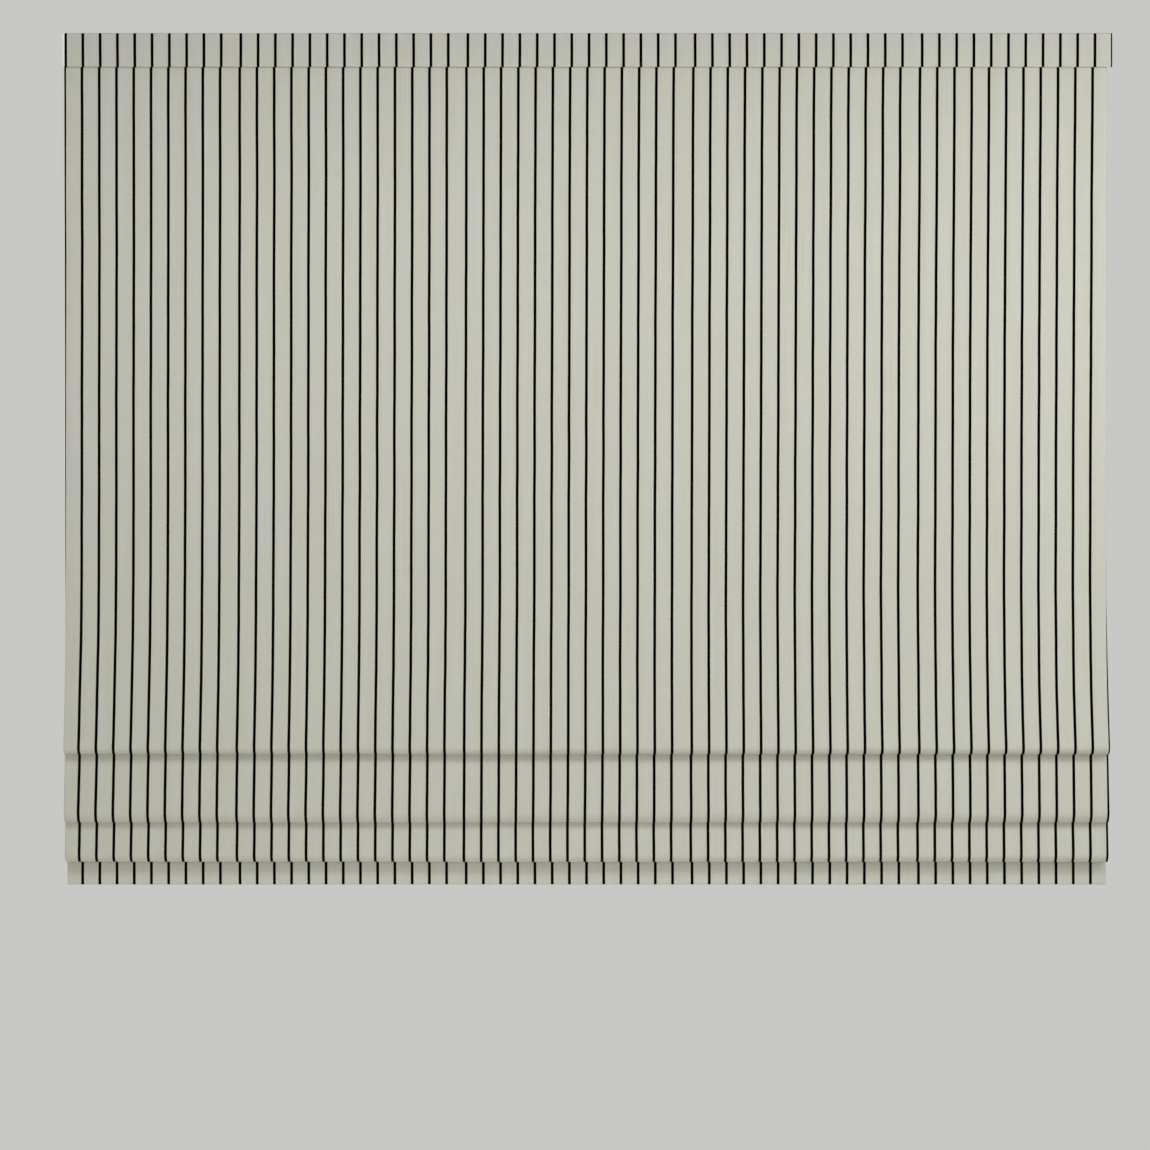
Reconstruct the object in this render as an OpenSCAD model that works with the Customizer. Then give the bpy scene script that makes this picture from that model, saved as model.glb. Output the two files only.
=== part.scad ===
// Flat Roman shade with a spring lift, hung on wall brackets and drawn partly up.
// +X runs across the width, +Z is up, the front faces -Y and the wall is the plane y = 0.
// The origin is the middle of the centre bracket's pair of screw holes.

/* [Head band] */
// Width of the head band
band_w = 1524; // [1000:1:1800]
// Height of the head band
band_h = 49; // [46:1:80]
// Thickness of the board inside the band
board_t = 3; // [2:0.5:6]
// Length of the board that the band's cloth leaves bare at the left end
bare_end = 3.3; // [0.5:0.1:10]

/* [Cloth] */
// How far each side of the shade's cloth lies inside the band's end
panel_inset = 4; // [2:0.5:10]
// Thickness of the face cloth
face_t = 0.8; // [0.5:0.1:1.0]
// Thickness of the lining
lining_t = 0.5; // [0.3:0.1:0.7]
// Width of the face cloth that is turned onto the lining at each side
side_hem_w = 38; // [20:1:50]
// Drop from the band's top to the edge of the first fold
panel_drop = 1047; // [900:1:1400]
// Height of the second tier that shows below the first fold
tier_2_h = 99; // [80:1:130]
// Height of the third tier that shows below the second
tier_3_h = 58; // [45:1:80]
// Height of the hem that shows below the third tier
hem_show_h = 34; // [20:1:60]

/* [Hang of the cloth] */
// How far the panel leans back between its top and its middle
lean = 11; // [8:0.5:12]
// How far the panel swings forward over the stacked folds
sweep = 29; // [27:0.5:32]
// Height of the part of the panel that swings forward
sweep_h = 258; // [220:1:320]
// How far the second tier's edge lies behind the first fold's
tier_2_back = 4.5; // [3:0.5:6]
// How far the third tier's edge lies behind the first fold's
tier_3_back = 14; // [12:0.5:16]
// How far the second tier swings forward below the first fold
tier_2_swing = 11; // [8:0.5:12]
// How far the third tier swings forward below the second
tier_3_swing = 5.5; // [4:0.5:8]
// How far the hem lies behind the first fold's edge
hem_back = 33; // [30:0.5:36]
// Radius of the roll in front of the first fold, to the middle of the cloth
roll_1_r = 10; // [8:0.5:11]
// Radius of the roll in front of the second fold
roll_2_r = 18; // [15:0.5:20]
// Radius of the roll in front of the third fold
roll_3_r = 11; // [9:0.5:12]
// Radius of the tight turn behind each roll
fold_r = 3.5; // [3:0.1:4]
// Depth of each fold, from the front of its roll to the leg behind it
fold_depth = 13; // [12.5:0.1:13.5]
// Height of the highest gathered rod's turn above the first fold's edge
stack_rise = 48; // [44:1:70]
// Height between one gathered rod's turn and the next
rod_step = 12; // [11:0.5:16]

/* [Rods and eyelets] */
// Diameter of a stiffening rod
rod_d = 4; // [3:0.1:4.5]
// Drop from the band's top to the first rod
rod_drop = 322; // [250:1:360]
// Height between the rods of the flat panel
rod_spacing = 254; // [200:1:260]
// Outer diameter of an eyelet's ring
ring_od = 11; // [10:0.5:12]
// Inner diameter of an eyelet's ring
ring_id = 7; // [6:0.5:8]
// Height of an eyelet's ring
ring_t = 2; // [1.5:0.1:3]

/* [Head rail] */
// How far each end of the head rail lies inside the band's end
rail_inset = 12; // [8:1:30]
// Depth of the head rail
rail_d = 44; // [43:1:52]
// Height of the head rail
rail_h = 38; // [36:1:42]
// Wall of the head rail
rail_wall = 1.6; // [1.2:0.1:1.8]
// Space between the wall and the rail's back
rail_gap = 10; // [8:1:20]

/* [Wall brackets] */
// Distance from the rail's end to the middle of the outer bracket
bracket_inset = 150; // [100:1:300]
// Width of a bracket
bracket_w = 32; // [28:1:50]
// Sheet thickness of a bracket
bracket_t = 2; // [1.5:0.1:2.5]
// Radius of a bracket's screw hole
screw_hole_r = 2.5; // [2:0.1:3]
// Distance between a bracket's two screw holes
screw_spacing = 16; // [12:0.5:20]

/* [Spring lift] */
// Distance from the cloth's side to the outer lift cord
cord_inset = 98; // [80:1:120]
// Diameter of a lift cord
cord_d = 1.4; // [1:0.1:1.6]
// Radius at which a cord winds on its spool
spool_r = 8; // [7.5:0.1:8.5]
// Length of a spool over its flanges
spool_l = 25; // [22:1:30]
// Length of the spring motor's housing
motor_l = 90; // [70:1:120]
// Distance between the spring motor's two drum axes
drum_pitch = 16.5; // [16.3:0.1:17]

/* [Bottom bar] */
// Thickness of the bottom bar
bar_t = 3; // [2:0.1:4]
// Height of the bottom bar
bar_h = 25; // [18:1:30]

/* [Hidden] */
// Clearances and overruns
sew_gap = 0.1;
soft_gap = 0.3;
slip_gap = 0.2;
run_gap = 0.05;
overrun = 1;
// Turning angle of each segment in a turn of the cloth, and segments in each half of the panel
turn_angle = 15;
panel_steps = 10;
corner_steps = 4;
// Sides of a drawn round
$fn = 48;

// Lengths across the width
panel_w = band_w - 2 * panel_inset;
rail_l = band_w - 2 * rail_inset;

// Layers of the cloth, measured from the middle of the face cloth towards the lining
face_hi = face_t / 2;
lining_lo = face_hi + sew_gap;
lining_hi = lining_lo + lining_t;
side_hem_lo = lining_hi + sew_gap;
side_hem_hi = side_hem_lo + face_t;

// Head rail and the tapes on its front
rail_front_y = -(rail_gap + rail_d);
rail_top_z = rail_h / 2;
rail_floor_z = rail_wall - rail_top_z;
rail_lip_w = 8;
hook_tape_t = 1.5;
loop_tape_t = 1.2;
tape_h = 20;
tape_inset = 4;
tape_end = 10;
cloth_top_gap = 2;
cloth_top_z = rail_top_z - cloth_top_gap;
tape_top_z = cloth_top_z - tape_inset;
loop_front_y = rail_front_y - hook_tape_t - loop_tape_t;
cloth_top_y = loop_front_y - sew_gap - lining_hi;
cap_t = 2;
cap_plug_l = 8;
cap_plug_wall = 2;

// Valance: clips on the rail, a board and the cloth around it
clip_t = 1.5;
clip_w = 16;
clip_leg = 30;
clip_hook = 6;
clip_x_shares = [-0.4667, -0.2, 0.2, 0.4667];
valance_gap = 0.4;
valance_back_y = cloth_top_y - face_hi - valance_gap - clip_t;
board_back_y = valance_back_y - face_t;
board_front_y = board_back_y - board_t;
band_top_z = band_h / 2;
board_edge_r = 0.8;
band_return = 15;

// Wall brackets
bracket_lip_t = 1.2;
bracket_lip_h = 3.5;
bracket_tab_h = 8;
bracket_xs = [bracket_inset - rail_l / 2, 0, rail_l / 2 - bracket_inset];

// Lift line: one shaft in the rail, with a spool above each cord
shaft_back = 15;
shaft_y = -(rail_gap + shaft_back);
cord_y = shaft_y - spool_r;
cord_count = 4;
cord_pitch = (panel_w - 2 * cord_inset) / (cord_count - 1);
cord_xs = [for (i = [0:cord_count - 1]) cord_inset - panel_w / 2 + i * cord_pitch];
shaft_r = 3.2;
shaft_bore_r = 3.3;
shaft_overhang = 26;
hub_r = 5;
hub_out = 1;
flange_r = 11;
flange_t = 1.5;
spool_core_r = spool_r - cord_d / 2 - run_gap;
wound_l = 18;
cord_tail = 3;

// Cradle that carries a spool on the rail's floor
cradle_l = 38;
cradle_base_t = 2.4;
upright_t = 3;
upright_gap = 0.5;
upright_margin = 4;
snout_r = 3.6;
snout_drop = 1.5;
snout_bore_r = 1.6;
mouth_share = 1.6;

// Spring motor
motor_x = (cord_xs[0] + cord_xs[1]) / 2;
motor_wall = 1.6;
motor_top_z = 12;
motor_back_y = -(rail_gap + rail_wall + slip_gap);
motor_front_y = rail_front_y + rail_wall + slip_gap;
storage_y = shaft_y - drum_pitch;
drum_end_gap = 0.4;
drum_l = motor_l - 2 * (motor_wall + drum_end_gap);
drum_flange_r = 8;
drum_flange_t = 2;
output_core_r = 5;
storage_core_r = 3.5;
coil_r = 7;
band_strip_t = 0.5;
pin_r = 2;

// The panel hangs straight behind the band, leans back, then swings forward to the first fold
mid_y = cloth_top_y + lean;
lean_top_z = tape_top_z - tape_h - tape_inset;
edge_1_z = band_top_z - panel_drop;
edge_2_z = edge_1_z - tier_2_h;
edge_3_z = edge_2_z - tier_3_h;
hem_edge_z = edge_3_z - hem_show_h;
sweep_angle = atan(2 * sweep / sweep_h);
front_y = mid_y - sweep;

// Each fold is a wide roll in front and a tight turn behind it, which holds the fold's lowest edge
roll_gap = 0.5;
fold_rise = fold_r + face_hi;
fold_back = fold_depth - fold_r;
fold_1_y = front_y + fold_back;
fold_2_y = front_y + tier_2_back + fold_back;
fold_3_y = front_y + tier_3_back + fold_back;
roll_1_y = front_y + roll_1_r * cos(sweep_angle);
roll_2_y = front_y + tier_2_back + roll_2_r;
roll_3_y = front_y + tier_3_back + roll_3_r;
function roll_rise(roll_r, roll_y, fold_y) =
    fold_rise + sqrt(pow(roll_r - fold_r + roll_gap, 2) - pow(roll_y - fold_y, 2));
roll_1_z = edge_1_z + roll_rise(roll_1_r, roll_1_y, fold_1_y);
roll_2_z = edge_2_z + roll_rise(roll_2_r, roll_2_y, fold_2_y);
roll_3_z = edge_3_z + roll_rise(roll_3_r, roll_3_y, fold_3_y);
sweep_end_z = roll_1_z + roll_1_r * sin(sweep_angle);
mid_z = sweep_end_z + sweep_h;

// Rod pockets are tubes on the lining's back
pocket_wall = 0.6;
pocket_r = rod_d / 2 + soft_gap + pocket_wall;
pocket_sink = 0.3;
pocket_lift = lining_hi + pocket_r - pocket_sink;
pocket_end = 2;
rod_turn_r = 2.5;
layer_gap = 2.9;
rod_turn_pitch = rod_turn_r + 2 * side_hem_hi + layer_gap;
last_turn_y = cord_y - ring_od / 2 - soft_gap - pocket_r;
first_turn_z = edge_1_z + stack_rise;

// Hem pocket around the bottom bar
bar_gap = 0.4;
hem_r = (bar_t + face_t) / 2 + bar_gap;
hem_close = 10;
hem_seam = 8;
flap_gap = 1;
bar_end = 8;
bar_cap_l = 4;
pocket_h = bar_h + 2 * bar_gap;
flap_h = pocket_h + hem_close + hem_seam;

// Eyelets that hold the cord to a rod, and the bead under the last one
stem_w = 3;
bead_r = 4.2;
bead_bore_r = cord_d / 2 + soft_gap;
flat_rods = 3;
rod_count = 6;

// Turns of the cloth as [y, z, radius, sense]: +1 under a fold, -1 over a rod or at a knee
knee_r = 40;
knee_2_y = front_y + tier_2_back + tier_2_swing - knee_r;
knee_3_y = front_y + tier_3_back + tier_3_swing - knee_r;
turns = [
    [roll_1_y, roll_1_z, roll_1_r, 1],
    [fold_1_y, edge_1_z + fold_rise, fold_r, 1],
    [last_turn_y - 2 * rod_turn_pitch, first_turn_z, rod_turn_r, -1],
    [knee_2_y, edge_1_z, knee_r, -1],
    [roll_2_y, roll_2_z, roll_2_r, 1],
    [fold_2_y, edge_2_z + fold_rise, fold_r, 1],
    [last_turn_y - rod_turn_pitch, first_turn_z - rod_step, rod_turn_r, -1],
    [knee_3_y, edge_2_z, knee_r, -1],
    [roll_3_y, roll_3_z, roll_3_r, 1],
    [fold_3_y, edge_3_z + fold_rise, fold_r, 1],
    [last_turn_y, first_turn_z - 2 * rod_step, rod_turn_r, -1],
    [front_y + hem_back + hem_r, hem_edge_z + hem_r + face_hi, hem_r, 1]
];
last_turn = len(turns) - 1;
turns_per_tier = 4;
first_rod_turn = 2;

// Unit vectors along a heading and to its left, in the plane of depth and height
function along(heading) = [cos(heading), sin(heading)];
function left_of(heading) = [-sin(heading), cos(heading)];

// Heading of the straight leg from turn i to turn i + 1, tangent to both
function leg_heading(i) =
    let (a = turns[i], b = turns[i + 1])
    let (apart = norm([b[0] - a[0], b[1] - a[1]]))
    atan2(b[1] - a[1], b[0] - a[0]) + asin((a[3] * a[2] - b[3] * b[2]) / apart);

heading_in = -90 - sweep_angle;
hem_heading = leg_heading(last_turn - 1);

// Points of turn i as [y, z, heading], between two headings
function turn_points(i, from, to) =
    let (c = turns[i], steps = ceil(abs(to - from) / turn_angle))
    [for (k = [0:steps])
        let (heading = from + (to - from) * k / steps)
        let (p = [c[0], c[1]] - c[3] * c[2] * left_of(heading))
        [p[0], p[1], heading]];

// Depth of the panel at a height: two parabolas that meet upright at its middle
function panel_y(z) =
    z > mid_z ? mid_y - lean * pow((z - mid_z) / (lean_top_z - mid_z), 2)
              : mid_y - sweep * pow((mid_z - z) / sweep_h, 2);
function panel_slope(z) =
    z > mid_z ? -2 * lean * (z - mid_z) / pow(lean_top_z - mid_z, 2)
              : 2 * sweep * (mid_z - z) / pow(sweep_h, 2);
function panel_point(z) = [panel_y(z), z, atan2(-1, -panel_slope(z))];

panel_points = concat(
    [[cloth_top_y, cloth_top_z, -90]],
    [for (k = [0:panel_steps - 1]) panel_point(lean_top_z + (mid_z - lean_top_z) * k / panel_steps)],
    [for (k = [0:panel_steps - 1]) panel_point(mid_z - sweep_h * k / panel_steps)]
);

// The whole run of the cloth from its top to the last rod
run_points = concat(
    panel_points,
    turn_points(0, heading_in, leg_heading(0)),
    [for (i = [1:last_turn - 1]) each turn_points(i, leg_heading(i - 1), leg_heading(i))]
);

// Hem: under the bottom bar, up behind it, and sewn flat to the lining
hem_turn_points = turn_points(last_turn, hem_heading, hem_heading + 180);
hem_up = hem_heading + 180;
hem_start = [hem_turn_points[0][0], hem_turn_points[0][1]];
hem_turn_end = hem_turn_points[len(hem_turn_points) - 1];
flap_start = [hem_turn_end[0], hem_turn_end[1]];
hem_close_in = 2 * hem_r - side_hem_lo - face_hi;
flap_bend = flap_start + pocket_h * along(hem_up);
seam_start = flap_bend + hem_close * along(hem_up) + hem_close_in * left_of(hem_up);
seam_end = seam_start + hem_seam * along(hem_up);

function headed(p, heading) = [p[0], p[1], heading];
function above_hem(height) = headed(hem_start + height * along(hem_up), hem_heading);

face_points = concat(
    run_points,
    hem_turn_points,
    [headed(flap_bend, hem_up), headed(seam_start, hem_up), headed(seam_end, hem_up)]
);
lining_points = concat(run_points, [above_hem(pocket_h + hem_close)]);
side_hem_points = concat(run_points, [above_hem(flap_h + flap_gap)]);

// Rod centres as [y, z]: first the flat panel's, then those over the gathered turns
function flat_rod(k) =
    let (z = band_top_z - rod_drop - k * rod_spacing)
    [panel_y(z) + pocket_lift, z];
function turned_rod(k) =
    let (c = turns[first_rod_turn + turns_per_tier * (k - flat_rods)])
    [c[0], c[1] + c[2] + pocket_lift];
rods = [for (k = [0:rod_count - 1]) k < flat_rods ? flat_rod(k) : turned_rod(k)];
rod_l = panel_w - 2 * (side_hem_w + pocket_end);
bead_z = rods[rod_count - 1][1] - ring_t / 2 - soft_gap - bead_r;

// Carries a shape drawn in depth and height across the width, from x0 for a length
module across(x0, length) {
    translate([x0, 0, 0]) rotate([90, 0, 90]) linear_extrude(length) children();
}

// A box between two corners
module box(low, high) {
    translate(low) cube(high - low);
}

// A round along X
module axle(x0, length, y, r) {
    translate([x0, y, 0]) rotate([0, 90, 0]) cylinder(r = r, h = length);
}

// A hexagonal bar along X on the shaft's axis
module hexagon(x0, length, r) {
    translate([x0, shaft_y, 0]) rotate([0, 90, 0]) cylinder(r = r, h = length, $fn = 6);
}

// The strip between two offsets of a run of cloth
module strip(points, low, high) {
    near = [for (p = points) [p[0], p[1]] + low * left_of(p[2])];
    far = [for (i = [len(points) - 1:-1:0])
        [points[i][0], points[i][1]] + high * left_of(points[i][2])];
    polygon(concat(near, far));
}

// A rectangle with round corners, as [low corner] and [high corner]
module rounded(low, high, r) {
    corners = [[high[0] - r, high[1] - r, 0], [low[0] + r, high[1] - r, 90],
               [low[0] + r, low[1] + r, 180], [high[0] - r, low[1] + r, 270]];
    polygon([for (c = corners) for (k = [0:corner_steps])
        [c[0], c[1]] + r * along(c[2] + 90 * k / corner_steps)]);
}

module wall_bracket(x) {
    lip_y = rail_front_y - bracket_lip_t;
    low_x = x - bracket_w / 2;
    color("gainsboro") difference() {
        across(low_x, bracket_w) polygon([
            [0, -rail_top_z],
            [0, rail_top_z + bracket_t],
            [lip_y, rail_top_z + bracket_t],
            [lip_y, rail_top_z - bracket_lip_h],
            [rail_front_y, rail_top_z - bracket_lip_h],
            [rail_front_y, rail_top_z],
            [-rail_gap, rail_top_z],
            [-rail_gap, rail_top_z - bracket_tab_h],
            [bracket_t - rail_gap, rail_top_z - bracket_tab_h],
            [bracket_t - rail_gap, rail_top_z],
            [-bracket_t, rail_top_z],
            [-bracket_t, -rail_top_z]
        ]);
        for (side = [-1, 1])
            translate([x + side * screw_spacing / 2, overrun, 0])
                rotate([90, 0, 0]) cylinder(r = screw_hole_r, h = bracket_t + 2 * overrun);
    }
}

module headrail() {
    back_y = -rail_gap;
    color("whitesmoke") difference() {
        across(-rail_l / 2, rail_l) polygon([
            [rail_front_y, -rail_top_z],
            [back_y, -rail_top_z],
            [back_y, rail_top_z],
            [back_y - rail_lip_w, rail_top_z],
            [back_y - rail_lip_w, rail_top_z - rail_wall],
            [back_y - rail_wall, rail_top_z - rail_wall],
            [back_y - rail_wall, rail_floor_z],
            [rail_front_y + rail_wall, rail_floor_z],
            [rail_front_y + rail_wall, rail_top_z - rail_wall],
            [rail_front_y + rail_lip_w, rail_top_z - rail_wall],
            [rail_front_y + rail_lip_w, rail_top_z],
            [rail_front_y, rail_top_z]
        ]);
        for (x = cord_xs)
            translate([x, cord_y, -rail_top_z - overrun])
                cylinder(r = snout_r + slip_gap, h = rail_wall + 2 * overrun);
    }
}

module rail_cap(side) {
    reach = rail_wall + slip_gap;
    low = [rail_front_y + reach, reach - rail_top_z];
    high = [-rail_gap - reach, rail_top_z - reach];
    plug = [cap_plug_wall, cap_plug_wall];
    plate_x = side > 0 ? rail_l / 2 : -rail_l / 2 - cap_t;
    plug_x = side > 0 ? rail_l / 2 - cap_plug_l : -rail_l / 2;
    color("white") {
        across(plate_x, cap_t)
            translate([rail_front_y, -rail_top_z]) square([rail_d, rail_h]);
        difference() {
            across(plug_x, cap_plug_l) translate(low) square(high - low);
            across(plug_x - overrun, cap_plug_l + 2 * overrun)
                translate(low + plug) square(high - low - 2 * plug);
        }
    }
}

module hook_tape() {
    half_l = rail_l / 2 - tape_end;
    color("ghostwhite")
        box([-half_l, rail_front_y - hook_tape_t, tape_top_z - tape_h], [half_l, rail_front_y, tape_top_z]);
}

module loop_tape() {
    half_l = panel_w / 2 - side_hem_w - tape_end;
    color("snow")
        box([-half_l, loop_front_y, tape_top_z - tape_h], [half_l, loop_front_y + loop_tape_t, tape_top_z]);
}

module valance_clips() {
    hook_y = rail_front_y + rail_lip_w;
    color("white") for (share = clip_x_shares) across(share * rail_l - clip_w / 2, clip_w) polygon([
        [valance_back_y, rail_top_z + clip_t],
        [valance_back_y, rail_top_z - clip_leg],
        [valance_back_y + clip_t, rail_top_z - clip_leg],
        [valance_back_y + clip_t, rail_top_z],
        [hook_y, rail_top_z],
        [hook_y, rail_top_z - clip_hook],
        [hook_y + clip_t, rail_top_z - clip_hook],
        [hook_y + clip_t, rail_top_z + clip_t]
    ]);
}

module board_section() {
    half_h = band_top_z - face_t;
    rounded([board_front_y, -half_h], [board_back_y, half_h], board_edge_r);
}

module valance_board() {
    color("white") across(-band_w / 2, band_w - face_t) board_section();
}

module valance_fabric() {
    low_x = bare_end - band_w / 2;
    length = band_w - bare_end;
    open_h = band_h - 2 * band_return;
    color("lightgray") across(low_x, length) difference() {
        rounded([board_front_y - face_t, -band_top_z], [valance_back_y, band_top_z], board_edge_r + face_t);
        board_section();
        translate([board_back_y - face_t, -open_h / 2]) square([2 * face_t + overrun, open_h]);
    }
}

module motor_housing() {
    low = [motor_x - motor_l / 2, motor_front_y, rail_floor_z];
    high = [motor_x + motor_l / 2, motor_back_y, motor_top_z];
    wall = [motor_wall, motor_wall, motor_wall];
    bore_l = motor_l + 2 * overrun;
    color("dimgray") difference() {
        box(low, high);
        box(low + wall, high + [-motor_wall, -motor_wall, overrun]);
        axle(low[0] - overrun, bore_l, shaft_y, hub_r + run_gap);
        axle(low[0] - overrun, bore_l, storage_y, pin_r);
    }
}

module motor_cover() {
    color("gray") box(
        [motor_x - motor_l / 2, motor_front_y, motor_top_z],
        [motor_x + motor_l / 2, motor_back_y, motor_top_z + motor_wall]
    );
}

module drum_pin() {
    color("silver") axle(motor_x - motor_l / 2, motor_l, storage_y, pin_r);
}

// A drum with a flange at each end
module drum(y, core_r) {
    low_x = motor_x - drum_l / 2;
    axle(low_x, drum_l, y, core_r);
    axle(low_x, drum_flange_t, y, drum_flange_r);
    axle(low_x + drum_l - drum_flange_t, drum_flange_t, y, drum_flange_r);
}

module storage_drum() {
    color("white") difference() {
        drum(storage_y, storage_core_r);
        axle(motor_x - drum_l / 2 - overrun, drum_l + 2 * overrun, storage_y, pin_r + run_gap);
    }
}

module output_drum() {
    hub_l = motor_l + 2 * hub_out;
    color("white") difference() {
        union() {
            drum(shaft_y, output_core_r);
            axle(motor_x - hub_l / 2, hub_l, shaft_y, hub_r);
        }
        hexagon(motor_x - hub_l / 2 - overrun, hub_l + 2 * overrun, shaft_bore_r);
    }
}

// The spring's band: a coil on each drum and the run between them
module spring_band() {
    length = drum_l - 2 * (drum_flange_t + soft_gap);
    low_x = motor_x - length / 2;
    color("slategray") {
        difference() {
            axle(low_x, length, shaft_y, coil_r);
            axle(low_x - overrun, length + 2 * overrun, shaft_y, output_core_r + soft_gap);
        }
        difference() {
            axle(low_x, length, storage_y, coil_r);
            axle(low_x - overrun, length + 2 * overrun, storage_y, storage_core_r + soft_gap);
        }
        box([low_x, storage_y, coil_r - band_strip_t], [low_x + length, shaft_y, coil_r]);
    }
}

module lift_shaft() {
    length = cord_xs[cord_count - 1] - cord_xs[0] + 2 * shaft_overhang;
    color("silver") hexagon(cord_xs[0] - shaft_overhang, length, shaft_r);
}

module cradle(i) {
    x = cord_xs[i];
    half_y = hub_r + upright_margin;
    base_top_z = rail_floor_z + cradle_base_t;
    upright_x = spool_l / 2 + upright_gap;
    mouth = mouth_share * hub_r;
    color("white") difference() {
        union() {
            box(
                [x - cradle_l / 2, motor_front_y, rail_floor_z],
                [x + cradle_l / 2, motor_back_y, base_top_z]
            );
            for (low_x = [x - upright_x - upright_t, x + upright_x])
                box([low_x, shaft_y - half_y, rail_floor_z], [low_x + upright_t, shaft_y + half_y, half_y]);
            translate([x, cord_y, -rail_top_z - snout_drop])
                cylinder(r = snout_r, h = snout_drop + rail_wall + cradle_base_t);
        }
        axle(x - cradle_l / 2 - overrun, cradle_l + 2 * overrun, shaft_y, hub_r + run_gap);
        box(
            [x - cradle_l / 2 - overrun, shaft_y - mouth / 2, 0],
            [x + cradle_l / 2 + overrun, shaft_y + mouth / 2, half_y + overrun]
        );
        translate([x, cord_y, -rail_top_z - snout_drop - overrun])
            cylinder(r = snout_bore_r, h = snout_drop + rail_wall + cradle_base_t + 2 * overrun);
    }
}

module spool(i) {
    x = cord_xs[i];
    hub_l = spool_l + 2 * (upright_gap + upright_t + hub_out);
    color("white") difference() {
        union() {
            axle(x - hub_l / 2, hub_l, shaft_y, hub_r);
            axle(x - spool_l / 2, spool_l, shaft_y, spool_core_r);
            axle(x - spool_l / 2, flange_t, shaft_y, flange_r);
            axle(x + spool_l / 2 - flange_t, flange_t, shaft_y, flange_r);
        }
        hexagon(x - hub_l / 2 - overrun, hub_l + 2 * overrun, shaft_bore_r);
    }
}

// A lift cord: its turns on the spool, and its run down through the eyelets
module lift_cord(i) {
    x = cord_xs[i];
    bottom_z = bead_z - bead_r - cord_tail;
    color("white") {
        difference() {
            axle(x - wound_l / 2, wound_l, shaft_y, spool_r + cord_d / 2);
            axle(x - wound_l / 2 - overrun, wound_l + 2 * overrun, shaft_y, spool_core_r + run_gap);
        }
        translate([x, cord_y, bottom_z]) cylinder(r = cord_d / 2, h = -bottom_z);
    }
}

// Face cloth: one folded sheet with its hem, and its sides turned onto the lining
module face_fabric() {
    color("silver") {
        across(-panel_w / 2, panel_w) strip(face_points, -face_hi, face_hi);
        for (side = [-1, 1]) {
            hem_x = side > 0 ? panel_w / 2 - side_hem_w : -panel_w / 2;
            edge_x = side > 0 ? panel_w / 2 - face_t : -panel_w / 2;
            across(edge_x, face_t) strip(side_hem_points, face_hi, side_hem_hi);
            across(hem_x, side_hem_w) strip(side_hem_points, side_hem_lo, side_hem_hi);
        }
    }
}

// Lining: the same run as the face cloth, with a tube for each rod
module lining() {
    half_w = panel_w / 2 - face_t - slip_gap;
    tube_l = panel_w - 2 * (side_hem_w + slip_gap);
    color("white") difference() {
        union() {
            across(-half_w, 2 * half_w) strip(lining_points, lining_lo, lining_hi);
            for (rod = rods) across(-tube_l / 2, tube_l) translate(rod) circle(r = pocket_r);
        }
        for (rod = rods)
            across(-tube_l / 2 - overrun, tube_l + 2 * overrun)
                translate(rod) circle(r = rod_d / 2 + soft_gap);
    }
}

module rod(k) {
    color("tan") across(-rod_l / 2, rod_l) translate(rods[k]) circle(r = rod_d / 2);
}

// Eyelets of one rod: a ring around each cord, and a stem to the rod's pocket
module eyelets(k) {
    z = rods[k][1];
    stem_y = rods[k][0] + pocket_r + soft_gap;
    ring_wall = (ring_od - ring_id) / 2;
    color("white") for (x = cord_xs) difference() {
        union() {
            translate([x, cord_y, z - ring_t / 2]) cylinder(r = ring_od / 2, h = ring_t);
            box(
                [x - stem_w / 2, stem_y, z - ring_t / 2],
                [x + stem_w / 2, cord_y - ring_id / 2 - ring_wall / 2, z + ring_t / 2]
            );
        }
        translate([x, cord_y, z - ring_t / 2 - overrun]) cylinder(r = ring_id / 2, h = ring_t + 2 * overrun);
    }
}

module cord_beads() {
    color("white") for (x = cord_xs) translate([x, cord_y, bead_z]) difference() {
        sphere(r = bead_r);
        translate([0, 0, -bead_r - overrun]) cylinder(r = bead_bore_r, h = 2 * (bead_r + overrun));
    }
}

// A length of the bottom bar's section, upright in the tilted hem pocket
module bar_length(x0, length) {
    across(x0, length) translate([turns[last_turn][0], turns[last_turn][1]]) rotate(hem_heading + 90)
        translate([-bar_t / 2, 0]) square([bar_t, bar_h]);
}

module bottom_bar() {
    half_l = panel_w / 2 - bar_end - bar_cap_l;
    color("darkgray") bar_length(-half_l, 2 * half_l);
}

module bar_cap(side) {
    outer_x = panel_w / 2 - bar_end;
    color("white") bar_length(side > 0 ? outer_x - bar_cap_l : -outer_x, bar_cap_l);
}

wall_bracket(bracket_xs[0]);  // bracket_left
wall_bracket(bracket_xs[1]);  // bracket_centre
wall_bracket(bracket_xs[2]);  // bracket_right
headrail();
rail_cap(-1);  // rail_cap_left
rail_cap(1);  // rail_cap_right
hook_tape();
loop_tape();
valance_clips();
valance_board();
valance_fabric();
motor_housing();
motor_cover();
spring_band();
drum_pin();
storage_drum();
output_drum();
lift_shaft();
for (i = [0:cord_count - 1]) {
    cradle(i);
    spool(i);
    lift_cord(i);
}
face_fabric();
lining();
for (k = [0:rod_count - 1]) {
    rod(k);
    eyelets(k);
}
cord_beads();
bottom_bar();
bar_cap(-1);  // bar_cap_left
bar_cap(1);  // bar_cap_right
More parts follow.
